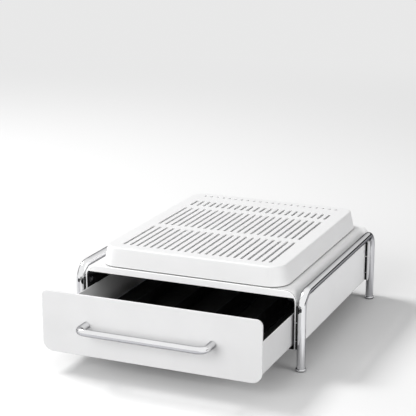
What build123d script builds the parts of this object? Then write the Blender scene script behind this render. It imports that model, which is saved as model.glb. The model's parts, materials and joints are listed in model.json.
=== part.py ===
"""Coffee pod drawer stand: a folded sheet cabinet between two bent tube frames, one drawer and a drain deck.

Millimetres, +Z up. The ground is at Z = 0 and the origin lies under the middle of the stand, with its drawer
drawn out as it is used. Depths are measured from the cabinet's front edge towards its back.
"""
import os
from math import atan2, degrees, radians, sin

from build123d import *

os.makedirs("parts", exist_ok=True)

# Cabinet
cabinet_width = 301.0
cabinet_depth = 330.0
cabinet_height = 79.5
ground_gap = 26.0
cabinet_corner = 16.0
sheet = 1.5
sheet_bend = 2.5
bottom_flange = 12.0
lip_height = 8.9
front_edge_round = 1.0
rear_flange = 10.0
seam_set_back = 1.7
seam_width = 0.8
seam_depth = 0.6

# Leg frames
tube_dia = 11.0
tube_wall = 1.2
tube_gap = 2.5
tube_bend = 20.0
rail_rise = 1.7
front_leg = 0.5
lug_height = 14.0
lug_reach = 13.0
lug_start = 1.5
lug_bite = 0.8
lug_rise = 12.0
vent_width = 2.8
vent_height = 5.2
vent_drop = 18.7
vent_proud = 0.3
vent_inside = 1.0

# Feet
foot_dia = 14.0
foot_flange = 2.6
foot_round = 0.8
foot_plug = 12.0
pad_dia = 12.0
pad_height = 1.0

# Runners and what slides on them
runner_sheet = 1.2
runner_end_gap = 1.0
runner_top_flange = 10.0
runner_top_gap = 1.9
runner_bend = 2.0
runner_corner_room = 1.5
shelf_edge = 1.0
strip_width = 10.0
strip_height = 2.0
strip_end_room = 4.0
side_gap = 2.0
hold_down_reach = 3.5
hold_down_leg = 9.0
hold_down_bend = 1.8
hold_down_end_room = 6.0
rail_rivets_a_side = 3
glide_dia = 10.0
glide_round = 0.4
glide_inset = 11.0
glide_drop = 18.0

# Drawer
drawn_out = 114.9
further_out = 115.0
tray_headroom = 36.5
tray_sheet = 1.5
tray_bend = 3.0
tray_back_room = 25.0
tray_edge_round = 0.5
panel_sheet = 2.5
panel_side_inset = 0.5
panel_over = 1.0
panel_under = 0.9
panel_upper_corner = 8.0
panel_lower_corner = 14.0
panel_round = 0.8
panel_skin = 0.8
front_screw_rise = 12.0
front_screw_inset = 24.3
front_screw_count = 4
bumper_dia = 7.0
bumper_height = 1.0
bumper_inset = 30.0

# Handle
handle_dia = 9.0
handle_span = 172.0
handle_reach = 25.9
handle_bend = 10.0
handle_drop = 6.5
handle_thread = 12.0

# Lanes in the drawer
lane_count = 5
mat_height = 1.5
mat_inset = 2.0
divider_sheet = 1.5
divider_height = 20.0
divider_foot = 12.0
divider_bend = 2.2
divider_end_room = 8.0
divider_rivets = 3
divider_rivet_inset = 20.0

# Rear panel
rear_sheet = 1.5
rear_screw_spacing = 140.0
rear_screw_rise = 17.0
rear_screw_drop = 26.5

# Fasteners
screw_dia = 4.0
screw_head_dia = 8.0
screw_head = 2.2
low_head = 1.0
small_screw_dia = 3.0
small_head_dia = 5.6
small_head = 2.0
socket_share = 0.5
screw_past = 2.0
rivet_dia = 3.0
rivet_head_dia = 6.0
rivet_head = 1.0

# Drain deck
deck_side_inset = 17.5
deck_front_inset = 2.0
deck_height = 25.3
deck_corner = 26.0
deck_draft = 5.5
deck_plate = 3.0
deck_wall = 2.5
deck_round = 2.5
slot_width = 3.6
slot_side_margin = 28.0
slots_across = 22
slot_front_margin = 23.0
slot_short = 29.0
slot_bridge = 13.5
dot_gap = 29.0
dot_rear_margin = 22.0
dot_length = 6.0
rib_sheet = 3.0
rib_height = 6.0
post_dia = 9.0
deck_pad_dia = 8.0
deck_pad_height = 1.2

# Drip pan
pan_post_gap = 2.0
pan_end_gap = 4.0
pan_height = 10.0
pan_sheet = 1.2
pan_corner = 16.0
pan_bend = 1.0
pan_rim = 2.0
pan_rim_round = 0.6

# Clearances
run_gap = 0.3
hold_down_gap = 0.4
glide_gap = 0.4
stop_gap = 0.5
close_gap = 0.2
hole_gap = 0.2
tip_gap = 0.3
panel_fit = 0.3
head_edge_room = 0.25

# Places worked out from the sizes
half_width = cabinet_width / 2
inner_half = half_width - sheet
cabinet_top = ground_gap + cabinet_height
inner_top = cabinet_top - sheet
lip_bottom = cabinet_top - lip_height
web_face = inner_half - runner_sheet
shelf_bottom = ground_gap + sheet
shelf_top = shelf_bottom + runner_sheet
runner_top = lip_bottom - runner_top_gap
runner_upper_bend = cabinet_corner - sheet - (inner_top - runner_top) + runner_corner_room
rear_panel_front = cabinet_depth - sheet - rear_sheet
runner_rear = rear_panel_front - runner_end_gap

tray_height = cabinet_height - tray_headroom
tray_half = web_face - side_gap
tray_inner_half = tray_half - tray_sheet
tray_bottom = shelf_top + strip_height + run_gap
tray_floor = tray_bottom + tray_sheet
tray_top = tray_bottom + tray_height
tray_depth = cabinet_depth - tray_back_room
tray_front = -(drawn_out + bumper_height + close_gap)
tray_rear = tray_front + tray_depth
strip_x = tray_half - tray_bend - strip_width / 2
shelf_end = strip_x - strip_width / 2 - shelf_edge

tube_x = half_width + tube_gap + tube_dia / 2
rail_axis = cabinet_top + rail_rise - tube_dia / 2
lug_hole = (tube_dia / 2 + lug_reach) / 2
lug_thick = tube_gap + lug_bite
rear_leg = runner_rear - head_edge_room - screw_head_dia / 2 - lug_hole
legs = (front_leg, rear_leg)
lug_levels = (ground_gap + lug_rise + lug_height / 2, cabinet_top - cabinet_corner - lug_height / 2)
lug_screws = [(leg + lug_hole, lug_level) for leg in legs for lug_level in lug_levels]
foot_top = pad_height + foot_flange
vent_level = rail_axis - vent_drop

hold_down_level = tray_top + hold_down_gap
hold_down_front = front_leg + lug_hole + screw_head_dia / 2 + hold_down_end_room
hold_down_rear = rear_leg + lug_hole - screw_head_dia / 2 - hold_down_end_room
rail_rivet_pitch = (hold_down_rear - hold_down_front) / rail_rivets_a_side
rail_rivet_level = hold_down_level + runner_sheet + (hold_down_leg - runner_sheet) / 2
rail_rivet_places = [
    (hold_down_front + rail_rivet_pitch * (index + 0.5), rail_rivet_level)
    for index in range(rail_rivets_a_side)
]
glide_thick = side_gap - glide_gap
glide_height = tray_height - glide_drop
glide_level = tray_bottom + glide_height
drawer_glide_depth = tray_rear - glide_inset
runner_glide_depth = drawer_glide_depth - further_out - glide_dia - stop_gap

panel_face = tray_front - panel_sheet
panel_half = half_width - panel_side_inset
panel_bottom = ground_gap - panel_under
panel_top = cabinet_top + panel_over
handle_level = tray_top - handle_drop
handle_axis = panel_face - handle_reach
handle_ends = [(side * handle_span / 2, handle_level) for side in (-1, 1)]
front_screw_pitch = 2 * (tray_inner_half - front_screw_inset) / (front_screw_count - 1)
front_screw_places = [
    ((index - (front_screw_count - 1) / 2) * front_screw_pitch, tray_bottom + front_screw_rise)
    for index in range(front_screw_count)
]
upstand_face = tray_front + tray_sheet

mat_top = tray_floor + mat_height
lane_pitch = 2 * tray_inner_half / lane_count
divider_places = [lane_pitch * (index + 1) - tray_inner_half for index in range(lane_count - 1)]
divider_front = upstand_face + divider_end_room
divider_rear = tray_rear - tray_sheet - divider_end_room
divider_rivet_pitch = (divider_rear - divider_front - 2 * divider_rivet_inset) / (divider_rivets - 1)

rear_screw_pitch = cabinet_height - rear_screw_rise - rear_screw_drop
rear_screw_places = [
    (side * (inner_half - rear_flange / 2), ground_gap + rear_screw_rise + step * rear_screw_pitch)
    for side in (-1, 1)
    for step in (0, 1)
] + [(side * rear_screw_spacing / 2, inner_top - rear_flange / 2) for side in (-1, 1)]

deck_half = half_width - deck_side_inset
deck_length = cabinet_depth - deck_front_inset
deck_middle = deck_front_inset + deck_length / 2
deck_base = cabinet_top + deck_pad_height
deck_top = deck_base + deck_height
deck_angle = degrees(atan2(deck_draft, deck_height))
post_line = deck_draft + deck_wall / 2 + post_dia / 2
post_arm = (deck_corner - post_line) * sin(radians(45))
post_x = deck_half - deck_corner + post_arm
post_reach = deck_length / 2 - deck_corner + post_arm
post_places = [(side * post_x, deck_middle + end * post_reach) for side in (-1, 1) for end in (-1, 1)]
post_places += [(side * (deck_half - post_line), deck_middle) for side in (-1, 1)]
slot_pitch = 2 * (deck_half - slot_side_margin) / (slots_across - 1)
slot_rows_room = deck_length - slot_front_margin - dot_rear_margin - dot_gap - slot_short - 2 * slot_bridge
slot_long = slot_rows_room / 2
first_row = deck_front_inset + slot_front_margin
second_row = first_row + slot_long + slot_bridge
third_row = second_row + slot_long + slot_bridge
dot_row = third_row + slot_short + dot_gap
slot_rows = [
    (first_row + slot_long / 2, slot_long),
    (second_row + slot_long / 2, slot_long),
    (third_row + slot_short / 2, slot_short),
    (dot_row, dot_length),
]
rib_depths = [second_row - slot_bridge / 2, third_row - slot_bridge / 2, dot_row - dot_gap / 2]
pan_half = deck_half - post_line - post_dia / 2 - pan_post_gap
pan_length = deck_length - 2 * (deck_wall + deck_draft + pan_end_gap)

# The cabinet's front edge lies here, so that the origin is under the middle from handle to rear screw heads
front_y = (handle_dia / 2 - handle_axis - cabinet_depth - small_head) / 2


def facing(depth):
    """Upright plane across the stand, seen from the front: local x is X and local y is Z."""
    return Plane(origin=(0, front_y + depth, 0), x_dir=(1, 0, 0), z_dir=(0, -1, 0))


def level(height):
    """Level plane: local x is X and local y is the depth."""
    return Plane(origin=(0, front_y, height))


def beside(x):
    """Upright plane along the stand: local x is the depth and local y is Z."""
    return Plane(origin=(x, front_y, 0), x_dir=(0, 1, 0), z_dir=(1, 0, 0))


def upright_plate(half, bottom, top, lower_radius, upper_radius):
    """Outline of an upright plate, even about X = 0, with rounded lower and upper corners."""
    corners = ((-half, bottom), (-half, top), (half, top), (half, bottom))
    radii = (lower_radius, upper_radius, upper_radius, lower_radius)
    with BuildSketch() as outline:
        with BuildLine():
            FilletPolyline(*corners, radius=radii, close=True)
        make_face()
    return outline.sketch


def folded(points, radii, thickness, side):
    """Section of a folded sheet, from the line of its outer face and the side that its thickness is on."""
    with BuildSketch() as section:
        with BuildLine():
            line = FilletPolyline(*points, radius=radii)
            offset(line, amount=thickness, side=side)
        make_face()
    return section.sketch


def fasteners(seats, head_dia, head_height, shank_dia, length, socket=True):
    """Screws or rivets, one on each seat plane, with the head on the side that the plane faces."""
    with BuildPart() as group:
        with BuildSketch(*seats):
            Circle(head_dia / 2)
        extrude(amount=head_height)
        with BuildSketch(*seats):
            Circle(shank_dia / 2)
        extrude(amount=-length)
        if socket:
            with BuildSketch(*[seat.offset(head_height) for seat in seats]):
                RegularPolygon(shank_dia * socket_share, 6)
            extrude(amount=-head_height * socket_share, mode=Mode.SUBTRACT)
    return group


def mirrored(piece):
    """Copy of a right-hand piece for the left side."""
    with BuildPart() as copy:
        mirror(piece.part, about=Plane.YZ)
    return copy


def save(piece, name):
    """Labels a finished piece and writes its file."""
    piece.part.label = name
    export_step(piece.part, f"parts/{name}.step")


# Cabinet shell: a wrapped sheet with a front lip, a seam line behind it and turned-in rear flanges
wrap_line = (
    (bottom_flange - half_width, ground_gap),
    (-half_width, ground_gap),
    (-half_width, cabinet_top),
    (half_width, cabinet_top),
    (half_width, ground_gap),
    (half_width - bottom_flange, ground_gap),
)
wrap_radii = (sheet_bend, cabinet_corner, cabinet_corner, sheet_bend)
wrap_section = folded(wrap_line, wrap_radii, sheet, Side.RIGHT)
lip_outline = upright_plate(half_width, ground_gap, cabinet_top, 0, cabinet_corner)
seam_floor = upright_plate(
    half_width - seam_depth, ground_gap, cabinet_top - seam_depth, 0, cabinet_corner - seam_depth
)
flange_outline = upright_plate(
    half_width - sheet / 2, ground_gap + sheet / 2, cabinet_top - sheet / 2, 0, cabinet_corner - sheet / 2
)
flange_window = upright_plate(inner_half - rear_flange, 0, inner_top - rear_flange, 0, rear_flange / 2)
with BuildPart() as cabinet_shell:
    with BuildSketch(facing(0)):
        add(wrap_section)
    extrude(amount=-cabinet_depth)
    with BuildSketch(facing(0)):
        add(lip_outline)
        with Locations((0, lip_bottom / 2)):
            Rectangle(2 * cabinet_width, lip_bottom, mode=Mode.SUBTRACT)
    extrude(amount=-sheet)
    with BuildSketch(facing(cabinet_depth - sheet)):
        add(flange_outline)
        add(flange_window, mode=Mode.SUBTRACT)
    extrude(amount=-sheet)
    front_edges = cabinet_shell.edges().filter_by_position(Axis.Y, front_y, front_y)
    outer_edges = front_edges.filter_by(
        lambda edge: edge.center().Z > lip_bottom or abs(edge.center().X) > inner_half + sheet / 2
    )
    fillet(outer_edges, front_edge_round)
    with BuildSketch(facing(seam_set_back)):
        add(lip_outline)
        add(seam_floor, mode=Mode.SUBTRACT)
    extrude(amount=-seam_width, mode=Mode.SUBTRACT)
    with BuildSketch(beside(-half_width)):
        with Locations(*lug_screws):
            Circle((screw_dia + hole_gap) / 2)
    extrude(amount=cabinet_width, mode=Mode.SUBTRACT)
    with BuildSketch(facing(cabinet_depth)):
        with Locations(*rear_screw_places):
            Circle((small_screw_dia + hole_gap) / 2)
    extrude(amount=sheet, mode=Mode.SUBTRACT)
save(cabinet_shell, "cabinet_shell")

# Rear panel, held inside the rear flanges by its screws
rear_outline = upright_plate(
    inner_half - panel_fit,
    shelf_bottom + panel_fit,
    inner_top - panel_fit,
    0,
    cabinet_corner - sheet - panel_fit,
)
with BuildPart() as rear_panel:
    with BuildSketch(facing(rear_panel_front)):
        add(rear_outline)
        with Locations(*rear_screw_places):
            Circle((small_screw_dia + hole_gap) / 2, mode=Mode.SUBTRACT)
    extrude(amount=-rear_sheet)
save(rear_panel, "rear_panel")

rear_seats = [
    Plane(origin=(x, front_y + cabinet_depth, z), x_dir=(-1, 0, 0), z_dir=(0, 1, 0))
    for x, z in rear_screw_places
]
rear_screw_length = sheet + rear_sheet + screw_past
rear_panel_screws = fasteners(rear_seats, small_head_dia, small_head, small_screw_dia, rear_screw_length)
save(rear_panel_screws, "rear_panel_screws")

# Runners: black channels that line the side walls, each with a shelf that carries the drawer
runner_line = (
    (shelf_end, shelf_bottom),
    (inner_half, shelf_bottom),
    (inner_half, runner_top),
    (inner_half - runner_top_flange, runner_top),
)
runner_section = folded(runner_line, (runner_bend, runner_upper_bend), runner_sheet, Side.LEFT)
with BuildPart() as right_runner:
    with BuildSketch(facing(runner_end_gap)):
        add(runner_section)
    extrude(amount=runner_end_gap - runner_rear)
    with BuildSketch(beside(web_face)):
        with Locations(*lug_screws):
            Circle((screw_dia + hole_gap) / 2)
        with Locations(*rail_rivet_places):
            Circle((rivet_dia + hole_gap) / 2)
    extrude(amount=runner_sheet, mode=Mode.SUBTRACT)
save(right_runner, "right_runner")
save(mirrored(right_runner), "left_runner")

# Nylon strips on the shelves
strip_length = runner_rear - runner_end_gap - 2 * strip_end_room
with BuildPart() as right_glide_strip:
    with BuildSketch(level(shelf_top)):
        with Locations((strip_x, runner_end_gap + strip_end_room + strip_length / 2)):
            Rectangle(strip_width, strip_length)
    extrude(amount=strip_height)
save(right_glide_strip, "right_glide_strip")
save(mirrored(right_glide_strip), "left_glide_strip")

# Hold-down rails over the drawer's side edges, riveted to the runners
hold_down_line = (
    (web_face - hold_down_reach, hold_down_level),
    (web_face, hold_down_level),
    (web_face, hold_down_level + hold_down_leg),
)
hold_down_section = folded(hold_down_line, (hold_down_bend,), runner_sheet, Side.LEFT)
with BuildPart() as right_hold_down_rail:
    with BuildSketch(facing(hold_down_front)):
        add(hold_down_section)
    extrude(amount=hold_down_front - hold_down_rear)
    with BuildSketch(beside(web_face)):
        with Locations(*rail_rivet_places):
            Circle((rivet_dia + hole_gap) / 2)
    extrude(amount=-runner_sheet, mode=Mode.SUBTRACT)
save(right_hold_down_rail, "right_hold_down_rail")
save(mirrored(right_hold_down_rail), "left_hold_down_rail")

rail_rivet_seats = [
    Plane(origin=(side * (web_face - runner_sheet), front_y + depth, z), x_dir=(0, 1, 0), z_dir=(-side, 0, 0))
    for side in (-1, 1)
    for depth, z in rail_rivet_places
]
rail_rivet_length = 2 * runner_sheet
rail_rivets = fasteners(
    rail_rivet_seats, rivet_head_dia, rivet_head, rivet_dia, rail_rivet_length, socket=False
)
save(rail_rivets, "rail_rivets")

# Glide buttons: on the runners near the front and on the drawer near its rear, they meet when it is fully out
with BuildPart() as right_runner_glide:
    with BuildSketch(beside(web_face)):
        with Locations((runner_glide_depth, glide_level)):
            Circle(glide_dia / 2)
    extrude(amount=-glide_thick)
    fillet(right_runner_glide.edges().sort_by(Axis.X)[0], glide_round)
save(right_runner_glide, "right_runner_glide")
save(mirrored(right_runner_glide), "left_runner_glide")

with BuildPart() as right_drawer_glide:
    with BuildSketch(beside(tray_half)):
        with Locations((drawer_glide_depth, glide_level)):
            Circle(glide_dia / 2)
    extrude(amount=glide_thick)
    fillet(right_drawer_glide.edges().sort_by(Axis.X)[-1], glide_round)
save(right_drawer_glide, "right_drawer_glide")
save(mirrored(right_drawer_glide), "left_drawer_glide")

# Leg frames: one bent tube a side, with welded lugs that reach back along the cabinet's wall
with BuildPart() as right_frame_tube:
    with BuildLine(beside(tube_x)) as tube_line:
        FilletPolyline(
            (front_leg, foot_top),
            (front_leg, rail_axis),
            (rear_leg, rail_axis),
            (rear_leg, foot_top),
            radius=tube_bend,
        )
    with BuildSketch(level(foot_top)):
        with Locations((tube_x, front_leg)):
            Circle(tube_dia / 2)
            Circle(tube_dia / 2 - tube_wall, mode=Mode.SUBTRACT)
    sweep(path=tube_line.line)
    with BuildSketch(beside(half_width)):
        for leg in legs:
            for lug_level in lug_levels:
                with Locations((leg + (lug_reach + lug_start) / 2, lug_level)):
                    Rectangle(lug_reach - lug_start, lug_height)
        with Locations(*lug_screws):
            Circle((screw_dia + hole_gap) / 2, mode=Mode.SUBTRACT)
    extrude(amount=lug_thick)
    with BuildSketch(facing(front_leg)):
        with Locations((tube_x, vent_level)):
            SlotOverall(vent_height + hole_gap, vent_width + hole_gap, rotation=90)
    extrude(amount=tube_dia, mode=Mode.SUBTRACT)
save(right_frame_tube, "right_frame_tube")
save(mirrored(right_frame_tube), "left_frame_tube")

lug_seats = [
    Plane(origin=(web_face, front_y + depth, z), x_dir=(0, 1, 0), z_dir=(-1, 0, 0)) for depth, z in lug_screws
]
frame_screw_length = runner_sheet + sheet + lug_thick - tip_gap
right_frame_screws = fasteners(lug_seats, screw_head_dia, low_head, screw_dia, frame_screw_length)
save(right_frame_screws, "right_frame_screws")
save(mirrored(right_frame_screws), "left_frame_screws")

with BuildPart() as vent_plugs:
    with BuildSketch(facing(front_leg - tube_dia / 2 - vent_proud)):
        with Locations(*[(side * tube_x, vent_level) for side in (-1, 1)]):
            SlotOverall(vent_height, vent_width, rotation=90)
    extrude(amount=-(vent_proud + tube_wall + vent_inside))
save(vent_plugs, "vent_plugs")

# Feet: a flanged plug in each tube end, on a rubber pad
corner_names = {
    "front_left": (-tube_x, front_leg),
    "front_right": (tube_x, front_leg),
    "rear_left": (-tube_x, rear_leg),
    "rear_right": (tube_x, rear_leg),
}
for corner, place in corner_names.items():
    with BuildPart() as foot:
        with BuildSketch(level(pad_height)):
            with Locations(place):
                Circle(foot_dia / 2)
        extrude(amount=foot_flange)
        fillet(foot.edges(), foot_round)
        with BuildSketch(level(foot_top)):
            with Locations(place):
                Circle(tube_dia / 2 - tube_wall - hole_gap / 2)
        extrude(amount=foot_plug)
    save(foot, f"foot_{corner}")

    with BuildPart() as foot_pad:
        with BuildSketch(level(0)):
            with Locations(place):
                Circle(pad_dia / 2)
        extrude(amount=pad_height)
    save(foot_pad, f"foot_pad_{corner}")

# Drawer tray: a folded U with a plate welded in at each end
tray_line = (
    (-tray_half, tray_top),
    (-tray_half, tray_bottom),
    (tray_half, tray_bottom),
    (tray_half, tray_top),
)
tray_section = folded(tray_line, (tray_bend, tray_bend), tray_sheet, Side.LEFT)
tray_end = upright_plate(tray_inner_half, tray_floor, tray_top, tray_bend, 0)
divider_rivet_places = []
for place in divider_places:
    turn = 1 if place >= 0 else -1
    for index in range(divider_rivets):
        rivet_depth = divider_front + divider_rivet_inset + index * divider_rivet_pitch
        divider_rivet_places.append((place + turn * (divider_sheet + divider_foot) / 2, rivet_depth))

with BuildPart() as drawer_tray:
    with BuildSketch(facing(tray_front)):
        add(tray_section)
    extrude(amount=-tray_depth)
    side_tops = drawer_tray.faces().group_by(Axis.Z)[-1]
    fillet(side_tops.edges().filter_by(Axis.Y), tray_edge_round)
    with BuildSketch(level(tray_bottom)):
        with Locations(*divider_rivet_places):
            Circle((rivet_dia + hole_gap) / 2)
    extrude(amount=tray_sheet, mode=Mode.SUBTRACT)
save(drawer_tray, "drawer_tray")

with BuildPart() as tray_front_plate:
    with BuildSketch(facing(tray_front)):
        add(tray_end)
        with Locations(*front_screw_places, *handle_ends):
            Circle((screw_dia + hole_gap) / 2, mode=Mode.SUBTRACT)
    extrude(amount=-tray_sheet)
save(tray_front_plate, "tray_front_plate")

with BuildPart() as tray_back_plate:
    with BuildSketch(facing(tray_rear - tray_sheet)):
        add(tray_end)
    extrude(amount=-tray_sheet)
save(tray_back_plate, "tray_back_plate")

# Drawer front, with blind holes behind for its screws and clear holes for the handle's
panel_outline = upright_plate(panel_half, panel_bottom, panel_top, panel_lower_corner, panel_upper_corner)
with BuildPart() as drawer_front:
    with BuildSketch(facing(panel_face)):
        add(panel_outline)
    extrude(amount=-panel_sheet)
    fillet(drawer_front.faces().sort_by(Axis.Y)[0].edges(), panel_round)
    with BuildSketch(facing(tray_front)):
        with Locations(*front_screw_places):
            Circle((screw_dia + hole_gap) / 2)
    extrude(amount=panel_sheet - panel_skin, mode=Mode.SUBTRACT)
    with BuildSketch(facing(tray_front)):
        with Locations(*handle_ends):
            Circle((screw_dia + hole_gap) / 2)
    extrude(amount=panel_sheet, mode=Mode.SUBTRACT)
save(drawer_front, "drawer_front")

inside_seats = {
    place: Plane(origin=(place[0], front_y + upstand_face, place[1]), x_dir=(-1, 0, 0), z_dir=(0, 1, 0))
    for place in front_screw_places + handle_ends
}
front_seats = [inside_seats[place] for place in front_screw_places]
front_screw_length = tray_sheet + panel_sheet - panel_skin - tip_gap
front_screws = fasteners(front_seats, screw_head_dia, screw_head, screw_dia, front_screw_length)
save(front_screws, "front_screws")

lip_middle = (lip_bottom + cabinet_top) / 2
bumper_places = [(side * (half_width - bumper_inset), lip_middle) for side in (-1, 1)]
with BuildPart() as front_bumpers:
    with BuildSketch(facing(tray_front)):
        with Locations(*bumper_places):
            Circle(bumper_dia / 2)
    extrude(amount=-bumper_height)
save(front_bumpers, "front_bumpers")

# Handle: a bent round bar, its ends on the panel and threaded for the screws
with BuildPart() as handle:
    with BuildLine(level(handle_level)) as handle_line:
        FilletPolyline(
            (-handle_span / 2, panel_face),
            (-handle_span / 2, handle_axis),
            (handle_span / 2, handle_axis),
            (handle_span / 2, panel_face),
            radius=handle_bend,
        )
    with BuildSketch(facing(panel_face)):
        with Locations(handle_ends[0]):
            Circle(handle_dia / 2)
    sweep(path=handle_line.line)
    with BuildSketch(facing(panel_face)):
        with Locations(*handle_ends):
            Circle((screw_dia + hole_gap) / 2)
    extrude(amount=handle_thread, mode=Mode.SUBTRACT)
save(handle, "handle")

handle_seats = [inside_seats[place] for place in handle_ends]
handle_screw_length = tray_sheet + panel_sheet + handle_thread - screw_past
handle_screws = fasteners(handle_seats, screw_head_dia, screw_head, screw_dia, handle_screw_length)
save(handle_screws, "handle_screws")

# Mat on the tray's floor
mat_width = 2 * (tray_inner_half - mat_inset)
mat_length = tray_depth - 2 * (tray_sheet + mat_inset)
with BuildPart() as liner_mat:
    with BuildSketch(level(tray_floor)):
        with Locations((0, (tray_front + tray_rear) / 2)):
            Rectangle(mat_width, mat_length)
        with Locations(*divider_rivet_places):
            Circle((rivet_dia + hole_gap) / 2, mode=Mode.SUBTRACT)
    extrude(amount=mat_height)
save(liner_mat, "liner_mat")

# Lane dividers: low angles whose feet turn away from the middle, riveted through the mat and the floor
for number, place in enumerate(divider_places, start=1):
    turn = 1 if place >= 0 else -1
    divider_line = (
        (place + turn * divider_foot, mat_top),
        (place, mat_top),
        (place, mat_top + divider_height),
    )
    inner_side = Side.RIGHT if turn > 0 else Side.LEFT
    divider_section = folded(divider_line, (divider_bend,), divider_sheet, inner_side)
    with BuildPart() as lane_divider:
        with BuildSketch(facing(divider_front)):
            add(divider_section)
        extrude(amount=divider_front - divider_rear)
        with BuildSketch(level(mat_top)):
            with Locations(*divider_rivet_places):
                Circle((rivet_dia + hole_gap) / 2)
        extrude(amount=divider_sheet, mode=Mode.SUBTRACT)
    save(lane_divider, f"lane_divider_{number}")

foot_upper_face = mat_top + divider_sheet
divider_seats = [Plane(origin=(x, front_y + depth, foot_upper_face)) for x, depth in divider_rivet_places]
divider_rivet_length = divider_sheet + mat_height + tray_sheet
lane_rivets = fasteners(
    divider_seats, rivet_head_dia, rivet_head, rivet_dia, divider_rivet_length, socket=False
)
save(lane_rivets, "lane_rivets")

# Drip pan, standing on the cabinet's top under the deck: a base plate with a moulded rim
with BuildPart() as drip_pan:
    with BuildSketch(level(cabinet_top)):
        with Locations((0, deck_middle)):
            RectangleRounded(2 * pan_half, pan_length, pan_corner)
    extrude(amount=pan_sheet)
    fillet(drip_pan.faces().sort_by(Axis.Z)[0].edges(), pan_bend)
save(drip_pan, "drip_pan")

with BuildPart() as drip_pan_rim:
    with BuildSketch(level(cabinet_top + pan_sheet)):
        with Locations((0, deck_middle)):
            RectangleRounded(2 * pan_half, pan_length, pan_corner)
            RectangleRounded(
                2 * (pan_half - pan_rim), pan_length - 2 * pan_rim, pan_corner - pan_rim, mode=Mode.SUBTRACT
            )
    extrude(amount=pan_height - pan_sheet)
    fillet(drip_pan_rim.faces().sort_by(Axis.Z)[-1].edges(), pan_rim_round)
save(drip_pan_rim, "drip_pan_rim")

# Drain deck: a slotted plate with a sloping skirt, ribs under its bridges and posts on rubber pads
with BuildPart() as drain_deck:
    with BuildSketch(level(deck_base)):
        with Locations((0, deck_middle)):
            RectangleRounded(2 * deck_half, deck_length, deck_corner)
    extrude(amount=deck_height, taper=deck_angle)
    fillet(drain_deck.faces().sort_by(Axis.Z)[-1].edges(), deck_round)
    with BuildSketch(level(deck_base)):
        with Locations((0, deck_middle)):
            RectangleRounded(
                2 * (deck_half - deck_wall), deck_length - 2 * deck_wall, deck_corner - deck_wall
            )
    extrude(amount=deck_height - deck_plate, taper=deck_angle, mode=Mode.SUBTRACT)
    with BuildSketch(level(deck_base)):
        with Locations(*post_places):
            Circle(post_dia / 2)
    extrude(amount=deck_height - deck_plate)
    with BuildSketch(level(deck_top - deck_plate)):
        with Locations(*[(0, rib_depth) for rib_depth in rib_depths]):
            Rectangle(2 * (deck_half - deck_draft - deck_wall / 2), rib_sheet)
    extrude(amount=-rib_height)
    with BuildSketch(level(deck_top)):
        for row_middle, row_length in slot_rows:
            with Locations((0, row_middle)):
                with GridLocations(slot_pitch, slot_pitch, slots_across, 1):
                    SlotOverall(row_length, slot_width, rotation=90)
    extrude(amount=-deck_plate, mode=Mode.SUBTRACT)
save(drain_deck, "drain_deck")

with BuildPart() as deck_pads:
    with BuildSketch(level(cabinet_top)):
        with Locations(*post_places):
            Circle(deck_pad_dia / 2)
    extrude(amount=deck_pad_height)
save(deck_pads, "deck_pads")
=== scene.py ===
"""Looks of the coffee pod drawer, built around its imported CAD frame.

Metres, in the frame's own axes: +X to the right seen from the drawer's front, +Y to the back, +Z up.
"""

import json
import logging
import math
from dataclasses import dataclass
from enum import Enum

import bpy
from mathutils import Matrix, Vector


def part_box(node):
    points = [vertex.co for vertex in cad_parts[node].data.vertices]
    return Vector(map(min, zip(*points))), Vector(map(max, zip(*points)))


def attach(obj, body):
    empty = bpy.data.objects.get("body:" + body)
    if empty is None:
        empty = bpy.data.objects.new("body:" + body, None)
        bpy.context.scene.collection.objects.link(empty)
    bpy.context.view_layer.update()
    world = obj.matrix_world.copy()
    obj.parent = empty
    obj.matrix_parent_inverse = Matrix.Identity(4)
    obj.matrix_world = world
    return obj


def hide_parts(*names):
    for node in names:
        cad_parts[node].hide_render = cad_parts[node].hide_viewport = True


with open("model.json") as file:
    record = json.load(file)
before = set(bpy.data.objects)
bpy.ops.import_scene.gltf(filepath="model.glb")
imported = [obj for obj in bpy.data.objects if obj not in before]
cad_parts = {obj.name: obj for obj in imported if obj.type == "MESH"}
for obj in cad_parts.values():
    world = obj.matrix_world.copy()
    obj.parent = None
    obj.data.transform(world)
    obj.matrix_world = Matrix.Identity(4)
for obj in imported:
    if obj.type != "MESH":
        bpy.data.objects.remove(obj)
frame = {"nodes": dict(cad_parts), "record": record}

LOG = logging.getLogger("pod_drawer")
MM = 0.001
MERGE = 0.002 * MM
NOISE_WEAK = 0.3
NOISE_STRONG = 0.7
Color = tuple[float, float, float]


class Body(Enum):
    """Bodies of the frame that pieces ride on."""

    CABINET = "cabinet"
    DRAWER = "drawer"
    DRIP_PAN = "drip_pan"
    DRAIN_DECK = "drain_deck"


class Slot(Enum):
    """Material slots of the record."""

    WHITE_SHEET = "white_sheet"
    BLACK_SHEET = "black_sheet"
    CHROME = "chrome"
    WHITE_PLASTIC = "white_plastic"
    DARK_PLASTIC = "dark_plastic"
    NYLON = "nylon"
    BLACK_RUBBER = "black_rubber"
    SCREW_STEEL = "screw_steel"


class Hand(Enum):
    """Side of the stand, seen from the drawer's front."""

    LEFT = -1
    RIGHT = 1


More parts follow.
